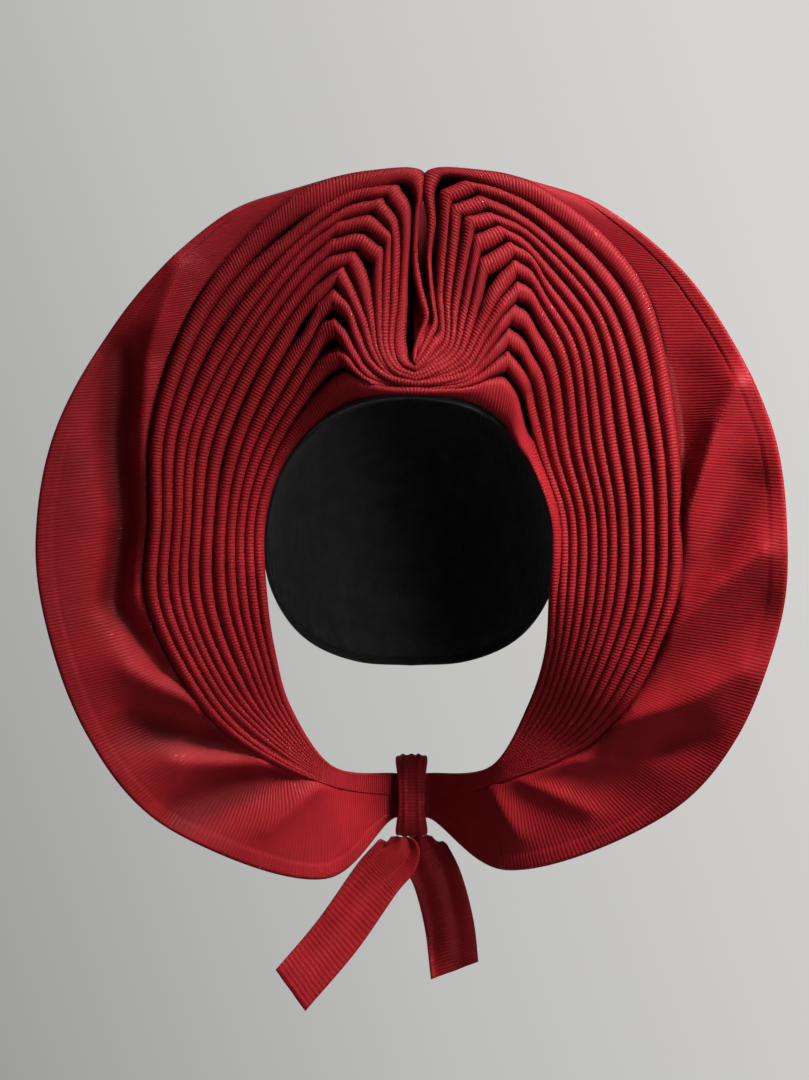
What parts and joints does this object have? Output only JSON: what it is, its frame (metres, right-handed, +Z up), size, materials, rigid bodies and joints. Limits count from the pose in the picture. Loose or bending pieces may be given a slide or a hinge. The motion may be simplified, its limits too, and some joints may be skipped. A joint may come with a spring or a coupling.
{
  "type": "tied gele head tie",
  "caption": "Stiff ribbed cloth head tie, pleated round the face opening and flared outside it, pinched to a swirl at the brow and knotted at the nape over a stretch cap.",
  "frame": {"origin": "crown of the head, on the inside of the cap, where the head tie sits", "axes": "+Z up, -Y is the front that the face looks out of, +X to the right seen from the front"},
  "size_m": [0.363, 0.1535, 0.4234],
  "materials": {
    "ribbed_cloth": "stiff cross-ribbed cloth with a low sheen and fine glitter thread",
    "stretch_cap": "matt black stretch knit",
    "band_elastic": "matt black elastic edging"
  },
  "bodies": {
    "root": {"gele_cloth": "ribbed_cloth", "inner_cap": "stretch_cap", "cap_band": "band_elastic", "nape_knot": "ribbed_cloth", "tie_left": "ribbed_cloth", "tie_right": "ribbed_cloth"}
  },
  "joints": []
}
